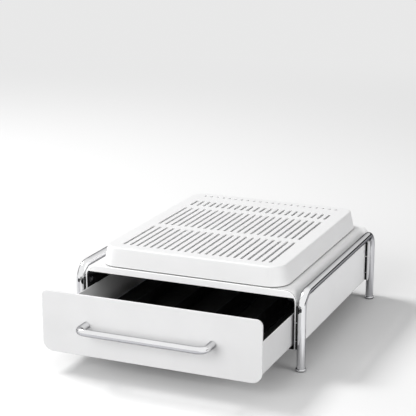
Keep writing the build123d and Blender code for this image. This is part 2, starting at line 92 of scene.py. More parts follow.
class ShaderTree:
    """Node tree of one material, with short ways to add and join its nodes."""

    def __init__(self, name: str) -> None:
        """Starts a material with a principled shader.

        Args:
            name: Name of the material.
        """
        self.material = bpy.data.materials.new(name)
        self.material.use_nodes = True
        self.tree = self.material.node_tree
        self.shader = self.tree.nodes["Principled BSDF"]
        self.place = self.tree.nodes.new("ShaderNodeTexCoord").outputs["Object"]

    def set(self, **values: object) -> None:
        """Sets plain values on the shader's sockets, with underscores for the spaces in their names."""
        for name, value in values.items():
            self.shader.inputs[name.replace("_", " ")].default_value = value

    def join(self, source: bpy.types.NodeSocket, target: bpy.types.NodeSocket) -> None:
        """Links one socket to another."""
        self.tree.links.new(source, target)

    def drive(self, name: str, source: bpy.types.NodeSocket) -> None:
        """Links a socket to one of the shader's inputs."""
        self.join(source, self.shader.inputs[name])

    def noise(
        self, size: float, detail: float = 2.0, stretch: Color = (1.0, 1.0, 1.0)
    ) -> bpy.types.NodeSocket:
        """Adds a noise on the object's own coordinates.

        Args:
            size: Width of one patch of the noise, in metres.
            detail: Octaves of finer noise.
            stretch: How much longer the patches are along each axis.

        Returns:
            The noise's value, about 0.5.
        """
        mapping = self.tree.nodes.new("ShaderNodeMapping")
        mapping.inputs["Scale"].default_value = [1.0 / (size * axis) for axis in stretch]
        node = self.tree.nodes.new("ShaderNodeTexNoise")
        node.inputs["Scale"].default_value = 1.0
        node.inputs["Detail"].default_value = detail
        self.join(self.place, mapping.inputs["Vector"])
        self.join(mapping.outputs["Vector"], node.inputs["Vector"])
        return node.outputs["Fac"]

    def cells(self, size: float) -> bpy.types.NodeSocket:
        """Adds a cell pattern on the object's own coordinates.

        Args:
            size: Width of a cell, in metres.

        Returns:
            The distance from the middle of each cell.
        """
        node = self.tree.nodes.new("ShaderNodeTexVoronoi")
        node.inputs["Scale"].default_value = 1.0 / size
        self.join(self.place, node.inputs["Vector"])
        return node.outputs["Distance"]

    def spread(self, value: bpy.types.NodeSocket, low: float, high: float) -> bpy.types.NodeSocket:
        """Maps a noise to a range.

        Args:
            value: The noise.
            low: Value where the noise is weak.
            high: Value where the noise is strong.

        Returns:
            The mapped value.
        """
        node = self.tree.nodes.new("ShaderNodeMapRange")
        node.inputs["From Min"].default_value = NOISE_WEAK
        node.inputs["From Max"].default_value = NOISE_STRONG
        node.inputs["To Min"].default_value = low
        node.inputs["To Max"].default_value = high
        self.join(value, node.inputs["Value"])
        return node.outputs["Result"]

    def blend(self, value: bpy.types.NodeSocket, low: Color, high: Color) -> bpy.types.NodeSocket:
        """Blends two colours by a noise.

        Args:
            value: The noise.
            low: Colour where the noise is weak.
            high: Colour where the noise is strong.

        Returns:
            The blended colour.
        """
        return self.mix(self.spread(value, 0.0, 1.0), low, high)

    def mix(
        self,
        share: bpy.types.NodeSocket,
        low: Color | bpy.types.NodeSocket,
        high: Color | bpy.types.NodeSocket,
    ) -> bpy.types.NodeSocket:
        """Mixes two colours, each plain or from another node.

        Args:
            share: Share of the second colour, 0 to 1.
            low: First colour.
            high: Second colour.

        Returns:
            The mixed colour.
        """
        node = self.tree.nodes.new("ShaderNodeMix")
        node.data_type = "RGBA"
        sockets = [socket for socket in node.inputs if socket.type == "RGBA"]
        for socket, color in zip(sockets, (low, high)):
            if isinstance(color, bpy.types.NodeSocket):
                self.join(color, socket)
            else:
                socket.default_value = (*color, 1.0)
        self.join(share, node.inputs["Factor"])
        return next(socket for socket in node.outputs if socket.type == "RGBA")

    def along(self, axis: str, start: float, end: float) -> bpy.types.NodeSocket:
        """Adds an even change along one of the object's own axes.

        Args:
            axis: Name of the axis, X, Y or Z.
            start: Place where the value is 0, in metres.
            end: Place where it is 1, in metres.

        Returns:
            The value, 0 to 1.
        """
        axes = self.tree.nodes.new("ShaderNodeSeparateXYZ")
        self.join(self.place, axes.inputs["Vector"])
        node = self.tree.nodes.new("ShaderNodeMapRange")
        node.inputs["From Min"].default_value = start
        node.inputs["From Max"].default_value = end
        self.join(axes.outputs[axis], node.inputs["Value"])
        return node.outputs["Result"]

    def product(
        self, first: bpy.types.NodeSocket, second: bpy.types.NodeSocket
    ) -> bpy.types.NodeSocket:
        """Returns two values multiplied."""
        node = self.tree.nodes.new("ShaderNodeMath")
        node.operation = "MULTIPLY"
        self.join(first, node.inputs[0])
        self.join(second, node.inputs[1])
        return node.outputs[0]

    def relief(self, height: bpy.types.NodeSocket, depth: float, edge: float = 0.0) -> None:
        """Raises a fine relief on the surface.

        Args:
            height: Pattern that is raised.
            depth: Height of the relief, in metres.
            edge: Radius that softens hard edges, in metres.
        """
        node = self.tree.nodes.new("ShaderNodeBump")
        node.inputs["Distance"].default_value = depth
        self.join(height, node.inputs["Height"])
        if edge:
            soft = self.tree.nodes.new("ShaderNodeBevel")
            soft.inputs["Radius"].default_value = edge
            self.join(soft.outputs["Normal"], node.inputs["Normal"])
        self.drive("Normal", node.outputs["Normal"])


def shade(color: Color, factor: float) -> Color:
    """Returns a colour made lighter or darker by a factor."""
    return tuple(channel * factor for channel in color)


@dataclass(frozen=True)
class PowderCoat:
    """Sprayed and baked powder on sheet: fine orange peel, slightly patchy gloss."""

    name: str
    color: Color
    gloss_low: float
    gloss_high: float
    peel: float = 1.4 * MM
    peel_depth: float = 0.012 * MM
    tint: float = 0.97
    specular: float = 0.45
    cloud: float = 45 * MM
    patch: float = 12 * MM
    soft_edge: float = 0.35 * MM

    def material(self) -> bpy.types.Material:
        """Returns the finish as a material."""
        tree = ShaderTree(self.name)
        tree.set(Specular_IOR_Level=self.specular)
        cloud = tree.noise(self.cloud, 3.0)
        tree.drive("Base Color", tree.blend(cloud, shade(self.color, self.tint), self.color))
        patch = tree.noise(self.patch, 4.0)
        tree.drive("Roughness", tree.spread(patch, self.gloss_low, self.gloss_high))
        tree.relief(tree.noise(self.peel, 2.0), self.peel_depth, edge=self.soft_edge)
        return tree.material


@dataclass(frozen=True)
class BrightPlate:
    """Plated and polished tube: mirror bright, with faint drawn lines and handling haze."""

    name: str
    color: Color
    edge_tint: Color
    haze_low: float = 0.03
    haze_high: float = 0.045
    line: float = 0.5 * MM
    line_depth: float = 0.0006 * MM
    line_stretch: Color = (30.0, 30.0, 1.0)
    cloud: float = 25 * MM
    tint: float = 0.97
    patch: float = 8 * MM

    def material(self) -> bpy.types.Material:
        """Returns the finish as a material."""
        tree = ShaderTree(self.name)
        tree.set(Metallic=1.0, Specular_Tint=(*self.edge_tint, 1.0))
        cloud = tree.noise(self.cloud, 2.0)
        tree.drive("Base Color", tree.blend(cloud, shade(self.color, self.tint), self.color))
        patch = tree.noise(self.patch, 4.0)
        tree.drive("Roughness", tree.spread(patch, self.haze_low, self.haze_high))
        tree.relief(tree.noise(self.line, 1.0, stretch=self.line_stretch), self.line_depth)
        return tree.material


@dataclass(frozen=True)
class MouldedPlastic:
    """Moulded plastic with the fine grain of an eroded mould and softened edges."""

    name: str
    color: Color
    gloss_low: float
    gloss_high: float
    grain: float = 0.5 * MM
    grain_depth: float = 0.006 * MM
    soft_edge: float = 0.5 * MM
    tint: float = 0.975
    specular: float = 0.4
    cloud: float = 60 * MM
    patch: float = 9 * MM

    def material(self) -> bpy.types.Material:
        """Returns the finish as a material."""
        tree = ShaderTree(self.name)
        tree.set(Specular_IOR_Level=self.specular)
        cloud = tree.noise(self.cloud, 3.0)
        tree.drive("Base Color", tree.blend(cloud, shade(self.color, self.tint), self.color))
        patch = tree.noise(self.patch, 3.0)
        tree.drive("Roughness", tree.spread(patch, self.gloss_low, self.gloss_high))
        tree.relief(tree.noise(self.grain, 3.0), self.grain_depth, edge=self.soft_edge)
        return tree.material


@dataclass(frozen=True)
class GrainedRubber:
    """Matt rubber with a fine grain and dusty patches."""

    name: str
    color: Color
    dust: float = 1.7
    specular: float = 0.25
    cloud: float = 14 * MM
    gloss_low: float = 0.72
    gloss_high: float = 0.9
    grain: float = 0.35 * MM
    grain_depth: float = 0.02 * MM

    def material(self) -> bpy.types.Material:
        """Returns the finish as a material."""
        tree = ShaderTree(self.name)
        tree.set(Specular_IOR_Level=self.specular)
        cloud = tree.noise(self.cloud, 5.0)
        tree.drive("Base Color", tree.blend(cloud, self.color, shade(self.color, self.dust)))
        tree.drive("Roughness", tree.spread(cloud, self.gloss_low, self.gloss_high))
        tree.relief(tree.noise(self.grain, 3.0), self.grain_depth)
        return tree.material


@dataclass(frozen=True)
class ZincPlate:
    """Zinc plated steel: faint crystals and a patchy sheen."""

    name: str
    color: Color
    tint: float = 0.8
    crystal: float = 1.2 * MM
    patch: float = 3 * MM
    gloss_low: float = 0.22
    gloss_high: float = 0.42
    grain: float = 0.4 * MM
    grain_depth: float = 0.004 * MM

    def material(self) -> bpy.types.Material:
        """Returns the finish as a material."""
        tree = ShaderTree(self.name)
        tree.set(Metallic=1.0)
        crystal = tree.cells(self.crystal)
        tree.drive("Base Color", tree.blend(crystal, shade(self.color, self.tint), self.color))
        patch = tree.noise(self.patch, 3.0)
        tree.drive("Roughness", tree.spread(patch, self.gloss_low, self.gloss_high))
        tree.relief(tree.noise(self.grain, 2.0), self.grain_depth)
        return tree.material


FINISHES = {
    Slot.WHITE_SHEET: PowderCoat("white_powder_coat", (0.88, 0.88, 0.882), 0.3, 0.42),
    Slot.BLACK_SHEET: PowderCoat(
        "black_powder_coat", (0.011, 0.011, 0.012), 0.5, 0.66, peel=0.7 * MM, tint=0.7, specular=0.2
    ),
    Slot.CHROME: BrightPlate("bright_chrome", (0.85, 0.852, 0.858), (0.1, 0.1, 0.11)),
    Slot.WHITE_PLASTIC: MouldedPlastic("white_moulding", (0.75, 0.75, 0.752), 0.36, 0.48),
    # On the drip pan under the deck the dark moulding partly stands in for the shade seen through the
    # deck's slots: painted shade.
    Slot.DARK_PLASTIC: MouldedPlastic("dark_moulding", (0.03, 0.03, 0.032), 0.4, 0.55, tint=0.75),
    Slot.NYLON: MouldedPlastic("natural_nylon", (0.76, 0.74, 0.68), 0.38, 0.5, soft_edge=0.3 * MM),
    Slot.BLACK_RUBBER: GrainedRubber("black_rubber", (0.012, 0.012, 0.012)),
    Slot.SCREW_STEEL: ZincPlate("zinc_steel", (0.62, 0.62, 0.64)),
}
# Greyer copy of the white coat for the drawer: partly the drawer's own greyer tone, partly painted
# shade for its shaded sides.
DRAWER_SHADED_COAT = PowderCoat("drawer_shaded_powder_coat", (0.7, 0.7, 0.703), 0.3, 0.42)


class Workshop:
    """Bench for new pieces: modelling steps as by hand, and the finishes."""

    def __init__(self) -> None:
        """Mixes one material for each slot of the record."""
        self.materials = {slot: finish.material() for slot, finish in FINISHES.items()}
        self.drawer_shaded_coat = DRAWER_SHADED_COAT.material()

    def coat(self, slot: Slot, on_drawer: bool) -> bpy.types.Material:
        """Returns the material of a slot; white sheet on the drawer gets a greyer copy of the coat,
        partly the drawer's own greyer tone and partly painted shade.
        """
        return self.drawer_shaded_coat if on_drawer and slot is Slot.WHITE_SHEET else self.materials[slot]

    def start(self, name: str) -> bpy.types.Object:
        """Starts a piece as a single point at the origin, in edit mode.

        Args:
            name: Name of the piece.

        Returns:
            The new object.
        """
        self.clear()
        bpy.ops.mesh.primitive_plane_add(size=1.0, location=(0, 0, 0))
        piece = bpy.context.object
        piece.name = name
        piece.data.name = name
        bpy.ops.object.mode_set(mode="EDIT")
        bpy.ops.mesh.select_mode(type="VERT")
        bpy.ops.mesh.merge(type="CENTER")
        return piece

    def clear(self) -> None:
        """Deselects everything and leaves edit mode."""
        if bpy.context.object and bpy.context.object.mode == "EDIT":
            bpy.ops.object.mode_set(mode="OBJECT")
        bpy.ops.object.select_all(action="DESELECT")

    def trace(self, points: list[Vector]) -> None:
        """Moves the piece's point to the first of the points and extrudes it along the others."""
        bpy.ops.transform.translate(value=points[0])
        for before, after in zip(points, points[1:]):
            bpy.ops.mesh.extrude_vertices_move(TRANSFORM_OT_translate={"value": after - before})

    def turned(
        self, name: str, profile: list[tuple[float, float]], foot: Vector, steps: int
    ) -> bpy.types.Object:
        """Turns a piece about an upright axis.

        Args:
            name: Name of the piece.
            profile: Radius and height of each point of the outline, from the axis to the axis.
            foot: Point on the axis that the heights start from.
            steps: Number of steps around.

        Returns:
            The closed piece, in object mode.
        """
        piece = self.start(name)
        self.trace([foot + Vector((radius, 0, height)) for radius, height in profile])
        bpy.ops.mesh.select_all(action="SELECT")
        bpy.ops.mesh.spin(steps=steps, angle=2 * math.pi, center=foot, axis=(0, 0, 1))
        bpy.ops.mesh.select_all(action="SELECT")
        bpy.ops.mesh.remove_doubles(threshold=MERGE)
        bpy.ops.mesh.normals_make_consistent(inside=False)
        bpy.ops.object.mode_set(mode="OBJECT")
        return piece

    def band(self, name: str, line: list[Vector], width: Vector, thickness: float) -> bpy.types.Object:
        """Makes a flat band along a line, a ring where the line ends at its first point.

        Args:
            name: Name of the piece.
            line: Points of one long edge.
            width: From that edge to the other.
            thickness: Thickness, laid inward from the line.

        Returns:
            The closed piece, in object mode.
        """
        piece = self.start(name)
        self.trace(line)
        bpy.ops.mesh.select_all(action="SELECT")
        bpy.ops.mesh.remove_doubles(threshold=MERGE)
        bpy.ops.mesh.extrude_region_move(TRANSFORM_OT_translate={"value": width})
        bpy.ops.mesh.select_all(action="SELECT")
        bpy.ops.mesh.normals_make_consistent(inside=False)
        bpy.ops.mesh.solidify(thickness=thickness)
        bpy.ops.mesh.select_all(action="SELECT")
        bpy.ops.mesh.normals_make_consistent(inside=False)
        bpy.ops.object.mode_set(mode="OBJECT")
        return piece

    def prism(self, name: str, outline: list[Vector], lift: Vector) -> bpy.types.Object:
        """Raises a piece from a flat outline.

        Args:
            name: Name of the piece.
            outline: Corners of the outline, in order.
            lift: From the outline to the far end of the piece.

        Returns:
            The closed piece, in object mode.
        """
        piece = self.start(name)
        self.trace(outline)
        bpy.ops.mesh.select_all(action="SELECT")
        bpy.ops.mesh.edge_face_add()
        bpy.ops.mesh.extrude_region_move(TRANSFORM_OT_translate={"value": lift})
        bpy.ops.mesh.select_all(action="SELECT")
        bpy.ops.mesh.normals_make_consistent(inside=False)
        bpy.ops.object.mode_set(mode="OBJECT")
        return piece

    def joined(self, name: str, parts: list[bpy.types.Object]) -> bpy.types.Object:
        """Joins parts into one piece.

        Args:
            name: Name of the piece.
            parts: Parts to join.

        Returns:
            The joined object.
        """
        self.clear()
        for part in parts:
            part.select_set(True)
        bpy.context.view_layer.objects.active = parts[0]
        bpy.ops.object.join()
        parts[0].name = name
        parts[0].data.name = name
        return parts[0]

    def apply(self, piece: bpy.types.Object, kind: str, **settings: object) -> None:
        """Adds a modifier to a piece and applies it.

        Args:
            piece: Piece to finish.
            kind: Blender's type of modifier.
            settings: Values of the modifier.
        """
        self.clear()
        bpy.context.view_layer.objects.active = piece
        piece.select_set(True)
        modifier = piece.modifiers.new(kind.lower(), kind)
        for setting, value in settings.items():
            setattr(modifier, setting, value)
        bpy.ops.object.modifier_apply(modifier=modifier.name)

    def finish(
        self, piece: bpy.types.Object, body: Body, slot: Slot, angle: float = 35.0
    ) -> bpy.types.Object:
        """Shades a new piece smooth, gives it its finish and lets it ride.

        Args:
            piece: Piece in its place.
            body: Body that it moves with.
            slot: Slot of the record that it is finished as.
            angle: Edges that turn by more degrees than this stay sharp.

        Returns:
            The same piece.
        """
        self.clear()
        bpy.context.view_layer.objects.active = piece
        piece.select_set(True)
        bpy.ops.object.shade_smooth_by_angle(angle=math.radians(angle))
        piece.data.materials.clear()
        piece.data.materials.append(self.coat(slot, body is Body.DRAWER))
        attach(piece, body.value)
        LOG.info("piece %s rides on %s in %s", piece.name, body.value, slot.value)
        return piece

    def dress(self) -> None:
        """Gives every CAD node the finish of its slot in the record."""
        drawer_nodes = frame["record"]["behaviour"]["bodies"][Body.DRAWER.value]
        for part in frame["record"]["subparts"]:
            node = frame["nodes"][part["node"]]
            node.data.materials.clear()
            slot = Slot(part["material_slot"])
            # White sheet on the drawer gets the greyer copy of the coat, which is partly painted shade.
            node.data.materials.append(self.coat(slot, part["node"] in drawer_nodes))
            LOG.info("node %s finished as %s", part["node"], part["material_slot"])


@dataclass
class WeldRun:
    """Upright run of weld: a bead with even ripples and tapered ends."""

    foot: Vector
    length: float
    radius: float
    ripple_pitch: float = 1.1 * MM
    ripple_share: float = 0.09
    taper_power: int = 8
    rings_a_ripple: int = 4
    steps: int = 14

    def build(self, shop: Workshop, name: str) -> bpy.types.Object:
        """Turns the bead about its own line.

        Args:
            shop: Bench that makes it.
            name: Name of the bead.

        Returns:
            The bead as an object.
        """
        ripples = max(2, round(self.length / self.ripple_pitch))
        rings = ripples * self.rings_a_ripple
        profile = [(0.0, 0.0)]
        for ring in range(1, rings):
            share = ring / rings
            taper = math.sqrt(max(0.0, 1.0 - (2 * share - 1) ** self.taper_power))
            wave = 1.0 + self.ripple_share * abs(math.sin(math.pi * ripples * share))
            profile.append((self.radius * taper * wave, self.length * share))
        profile.append((0.0, self.length))
        return shop.turned(name, profile, self.foot, self.steps)


def arc(
    middle: Vector, across: Vector, up: Vector, start: float, end: float, steps: int
) -> list[Vector]:
    """Returns points of an arc.

    Args:
        middle: Centre of the arc.
        across: Radius at the angle 0.
        up: Radius at a right angle to it.
        start: First angle, in degrees.
        end: Last angle, in degrees.
        steps: Number of steps between them.

    Returns:
        The points in order.
    """
    angles = [math.radians(start + (end - start) * step / steps) for step in range(steps + 1)]
    return [middle + across * math.cos(angle) + up * math.sin(angle) for angle in angles]


@dataclass
class Cabinet:
    """Folded cabinet: the black bead in the seam behind its front edge, painted shade that darkens the
    seam line.
    """

    corner: float = 16.0 * MM
    seam_set_back: float = 1.7 * MM
    seam_width: float = 0.8 * MM
    bead_depth: float = 0.06 * MM
    bead_height: float = 0.56 * MM
    bead_foot: float = 4.0 * MM
    arc_steps: int = 16

    def build(self, shop: Workshop) -> None:
        """Lays the bead up one side, across the top and down the other side."""
        low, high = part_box("cabinet_shell")
        front = low.y + self.seam_set_back
        radius = self.corner - self.bead_depth
        centre = Vector((high.x - self.corner, front, high.z - self.corner))
        across = Vector((radius, 0, 0))
        up = Vector((0, 0, radius))
        right = arc(centre, across, up, 0, 90, self.arc_steps)
        left = arc(Vector((-centre.x, front, centre.z)), across, up, 90, 180, self.arc_steps)
        foot = low.z + self.bead_foot
        line = [
            Vector((right[0].x, front, foot)),
            *right,
            *left,
            Vector((left[-1].x, front, foot)),
        ]
        # Black rubber in the seam groove: painted shade, a darker line than the groove's own shade.
        piece = shop.band("front_seam_shade_bead", line, Vector((0, self.seam_width, 0)), self.bead_height)
        shop.finish(piece, Body.CABINET, Slot.BLACK_RUBBER)


@dataclass
class DrainDeck:
    """Lift-off deck: the black rubber gasket under the edge of its skirt, painted shade that darkens
    the shadow gap under the skirt.
    """

    corner: float = 26.0 * MM
    inset: float = 0.4 * MM
    height: float = 0.85 * MM
    thickness: float = 1.2 * MM
    edge_round: float = 0.2 * MM
    arc_steps: int = 16

    def build(self, shop: Workshop) -> None:
        """Lays the gasket along the skirt's outline."""
        low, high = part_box("drain_deck")
        radius = self.corner - self.inset
        across = Vector((radius, 0, 0))
        back = Vector((0, radius, 0))
        sides = (low.x + self.corner, high.x - self.corner)
        ends = (low.y + self.corner, high.y - self.corner)
        corners = ((sides[1], ends[1]), (sides[0], ends[1]), (sides[0], ends[0]), (sides[1], ends[0]))
        line = []
        for quarter, (x, y) in enumerate(corners):
            start = 90 * quarter
            line += arc(Vector((x, y, low.z)), across, back, start, start + 90, self.arc_steps)
        line.append(line[0])
        # The black gasket fills the gap under the skirt: painted shade in the shadow gap.
        piece = shop.band("deck_shadow_gasket", line, Vector((0, 0, -self.height)), self.thickness)
        shop.apply(piece, "BEVEL", width=self.edge_round, segments=2, limit_method="ANGLE")
        shop.finish(piece, Body.DRAIN_DECK, Slot.BLACK_RUBBER)


@dataclass
class LegFrames:
    """Bent tube frames at the sides: welds at their lugs, black strips at the wall that paint the gap's
    shade, pads under the feet.
    """

    weld_radius: float = 0.9 * MM
    weld_inset: float = 1.0 * MM
    lug_height: float = 14.0 * MM
    lug_stand_off: float = 4.7 * MM
    tube_radius: float = 5.5 * MM
    screw_head_radius: float = 4.0 * MM
    groove_radii: tuple[float, float] = (2.2 * MM, 4.2 * MM)
    groove_half: float = 0.45 * MM
    groove_depth: float = 0.35 * MM
    pad_round: float = 0.25 * MM
    pad_steps: int = 40
    strip_runs: tuple[tuple[float, float], ...] = (
        (28.0 * MM, 38.2 * MM),
        (39.8 * MM, 63.2 * MM),
        (64.8 * MM, 86.0 * MM),
    )
    strip_front: float = -0.6 * MM
    strip_back: float = 1.4 * MM
    strip_bite: float = 0.03 * MM
    strip_round: float = 0.2 * MM
    strip_steps: int = 4

    def build(self, shop: Workshop) -> None:
        """Builds the welds, the strips and the pads."""
        for hand in Hand:
            self.welds(shop, hand)
            self.strips(shop, hand)
            for end in ("front", "rear"):
                self.pad(shop, f"{end}_{hand.name.lower()}")

    def welds(self, shop: Workshop, hand: Hand) -> None:
        """Lays a weld run in the corner between each lug of one frame and its tube.

        Args:
            shop: Bench that makes them.
            hand: Side of the frame.
        """
        side = hand.name.lower()
        along = math.sqrt(self.tube_radius ** 2 - self.lug_stand_off ** 2)
        screws_low, screws_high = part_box(f"{side}_frame_screws")
        levels = (screws_low.z + self.screw_head_radius, screws_high.z - self.screw_head_radius)
        runs = []
        for end in ("front", "rear"):
            low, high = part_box(f"foot_pad_{end}_{side}")
            leg = (low + high) / 2
            for level in levels:
                foot = Vector((
                    leg.x - hand.value * self.lug_stand_off,
                    leg.y + along,
                    level - self.lug_height / 2 + self.weld_inset,
                ))
                run = WeldRun(foot, self.lug_height - 2 * self.weld_inset, self.weld_radius)
                runs.append(run.build(shop, f"weld_run_{len(runs)}"))
        piece = shop.joined(f"{side}_frame_welds", runs)
        shop.finish(piece, Body.CABINET, Slot.CHROME)

    def strips(self, shop: Workshop, hand: Hand) -> None:
        """Sets black rubber strips between the legs of one frame and the cabinet's wall: painted shade
        in the gap, which the chrome legs also mirror as a dark edge.

        Args:
            shop: Bench that makes them.
            hand: Side of the frame.
        """
        side = hand.name.lower()
        wall = hand.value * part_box("cabinet_shell")[1].x
        depth = self.strip_back - self.strip_front
        lengths = []
        for end in ("front", "rear"):
            low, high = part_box(f"foot_pad_{end}_{side}")
            leg = (low + high) / 2
            for foot, head in self.strip_runs:
                outline = [Vector((wall, leg.y + self.strip_front, foot))]
                for step in range(self.strip_steps + 1):
                    along = self.strip_front + depth * step / self.strip_steps
                    reach = math.sqrt(self.tube_radius ** 2 - along ** 2) - self.strip_bite
                    outline.append(Vector((leg.x - hand.value * reach, leg.y + along, foot)))
                outline.append(Vector((wall, leg.y + self.strip_back, foot)))
                rise = Vector((0, 0, head - foot))
                lengths.append(shop.prism(f"leg_strip_{len(lengths)}", outline, rise))
        # Painted shade: black strips fill the gap beside each leg and show in the legs as a dark edge.
        piece = shop.joined(f"{side}_leg_strips", lengths)
        shop.apply(piece, "BEVEL", width=self.strip_round, segments=2, limit_method="ANGLE")
        shop.finish(piece, Body.CABINET, Slot.BLACK_RUBBER)

    def pad(self, shop: Workshop, corner: str) -> None:
        """Turns one rubber pad with ring grooves under it.

        Args:
            shop: Bench that makes it.
            corner: Corner of the stand.
        """
        low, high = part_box(f"foot_pad_{corner}")
        radius = (high.x - low.x) / 2
        height = high.z - low.z
        foot = Vector((low.x + radius, low.y + radius, low.z))
        profile = [(0.0, 0.0)]
        for groove in self.groove_radii:
            profile += [
                (groove - self.groove_half, 0.0),
                (groove - self.groove_half / 2, self.groove_depth),
                (groove + self.groove_half / 2, self.groove_depth),
                (groove + self.groove_half, 0.0),
            ]
        profile += [
            (radius - self.pad_round, 0.0),
            (radius, self.pad_round),
            (radius, height),
            (0.0, height),
        ]
        piece = shop.turned(f"grooved_pad_{corner}", profile, foot, self.pad_steps)
        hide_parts(f"foot_pad_{corner}")
        shop.finish(piece, Body.CABINET, Slot.BLACK_RUBBER)


@dataclass
class Drawer:
    """Sliding drawer: its ribbed mat and the weld runs at the tray's corners."""

    rib_pitch: float = 6.0 * MM
    groove_depth: float = 0.7 * MM
    rib_round: float = 0.22 * MM
    weld_radius: float = 1.0 * MM
    weld_top_gap: float = 3.0 * MM
    weld_foot_gap: float = 4.0 * MM

    def build(self, shop: Workshop) -> None:
        """Builds the mat and the welds."""
        self.mat(shop)
        self.welds(shop)

    def mat(self, shop: Workshop) -> None:
        """Models the rubber mat with ribs along the drawer."""
        low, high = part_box("liner_mat")
        size = high - low
        middle = (low + high) / 2
        ribs = round(size.x / self.rib_pitch)
        strips = 2 * ribs + 1
        bed = high.z - self.groove_depth
        shop.clear()
        bpy.ops.mesh.primitive_grid_add(
            x_subdivisions=strips, y_subdivisions=1, size=1.0, location=(middle.x, middle.y, bed)
        )
        piece = bpy.context.object
        piece.name = "ribbed_liner_mat"
        piece.data.name = piece.name
        piece.scale = (size.x, size.y, 1.0)
        bpy.ops.object.transform_apply(location=True, rotation=True, scale=True)
        strip = size.x / strips
        for face in piece.data.polygons:
            face.select = int((face.center.x - low.x) / strip) % 2 == 1
        for group in (piece.data.edges, piece.data.vertices):
            for element in group:
                element.select = False
        for face in piece.data.polygons:
            if face.select:
                for index in face.vertices:
                    piece.data.vertices[index].select = True
        bpy.ops.object.mode_set(mode="EDIT")
        bpy.ops.mesh.select_mode(type="FACE")
        bpy.ops.mesh.extrude_region_move(TRANSFORM_OT_translate={"value": (0, 0, self.groove_depth)})
        bpy.ops.mesh.select_all(action="SELECT")
        bpy.ops.mesh.extrude_region_move(TRANSFORM_OT_translate={"value": (0, 0, 0)})
        bpy.ops.transform.resize(value=(1, 1, 0), center_override=(middle.x, middle.y, low.z))
        bpy.ops.mesh.select_all(action="SELECT")
        bpy.ops.mesh.normals_make_consistent(inside=False)
        bpy.ops.object.mode_set(mode="OBJECT")
        shop.apply(piece, "BEVEL", width=self.rib_round, segments=2, limit_method="ANGLE")
        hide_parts("liner_mat")
        shop.finish(piece, Body.DRAWER, Slot.BLACK_RUBBER)

    def welds(self, shop: Workshop) -> None:
        """Lays an upright weld run in each inner corner of the tray."""
        runs = []
        for plate, inner in (("tray_front_plate", 1), ("tray_back_plate", -1)):
            low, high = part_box(plate)
            depth = high.y if inner > 0 else low.y
            foot_level = low.z + self.weld_foot_gap
            length = high.z - self.weld_top_gap - foot_level
            for x in (low.x, high.x):
                run = WeldRun(Vector((x, depth, foot_level)), length, self.weld_radius)
                runs.append(run.build(shop, f"tray_weld_{len(runs)}"))
        piece = shop.joined("tray_corner_welds", runs)
        shop.finish(piece, Body.DRAWER, Slot.WHITE_SHEET)


@dataclass(frozen=True)
class PhotoCamera:
    """Camera at the photograph's viewing angle, from a fit of the stand's edges."""

    eye: Color = (0.6542, -1.5595, 0.6298)
    yaw: float = math.radians(23.0548)
    pitch: float = math.radians(14.9826)
    roll: float = math.radians(-0.0032)
    focal_pixels: float = 1291.26
    image_pixels: float = 416.0
    sensor: float = 36.0

    def place(self) -> None:
        """Adds the camera and makes it the scene's own."""
        ahead = Vector((
            -math.sin(self.yaw) * math.cos(self.pitch),
            math.cos(self.yaw) * math.cos(self.pitch),
            -math.sin(self.pitch),
        ))
        level = Vector((math.cos(self.yaw), math.sin(self.yaw), 0.0))
        below = ahead.cross(level)
        right = math.cos(self.roll) * level + math.sin(self.roll) * below
        down = math.cos(self.roll) * below - math.sin(self.roll) * level
        data = bpy.data.cameras.new("photo_camera")
        data.sensor_width = self.sensor
        data.lens = self.focal_pixels * self.sensor / self.image_pixels
        camera = bpy.data.objects.new("photo_camera", data)
        turn = Matrix((right, -down, -ahead)).transposed().to_4x4()
        camera.matrix_world = Matrix.Translation(self.eye) @ turn
        bpy.context.scene.collection.objects.link(camera)
        bpy.context.scene.camera = camera


@dataclass(frozen=True)
class SoftLamp:
    """Large square lamp that points at the stand."""

    name: str
    towards: Color
    distance: float
    size: float
    power: float
    mirrored: bool = False

    def hang(self) -> None:
        """Adds the lamp to the scene, mirrored by the metal or not."""
        data = bpy.data.lights.new(self.name, "AREA")
        data.energy = self.power
        data.size = self.size
        lamp = bpy.data.objects.new(self.name, data)
        towards = Vector(self.towards).normalized()
        lamp.location = towards * self.distance
        lamp.rotation_euler = towards.to_track_quat("Z", "Y").to_euler()
        lamp.visible_glossy = self.mirrored
        bpy.context.scene.collection.objects.link(lamp)


def seen_rays(tree: bpy.types.NodeTree, rays: tuple[str, ...]) -> bpy.types.NodeSocket:
    """Adds a switch that is 1 for rays of the given kinds.

    Args:
        tree: Node tree that the switch goes into.
        rays: Names of the light path's outputs.

    Returns:
        The switch, 0 or 1.
    """
    path = tree.nodes.new("ShaderNodeLightPath")
    seen = path.outputs[rays[0]]
    for ray in rays[1:]:
        either = tree.nodes.new("ShaderNodeMath")
        either.operation = "MAXIMUM"
        tree.links.new(seen, either.inputs[0])
        tree.links.new(path.outputs[ray], either.inputs[1])
        seen = either.outputs[0]
    return seen


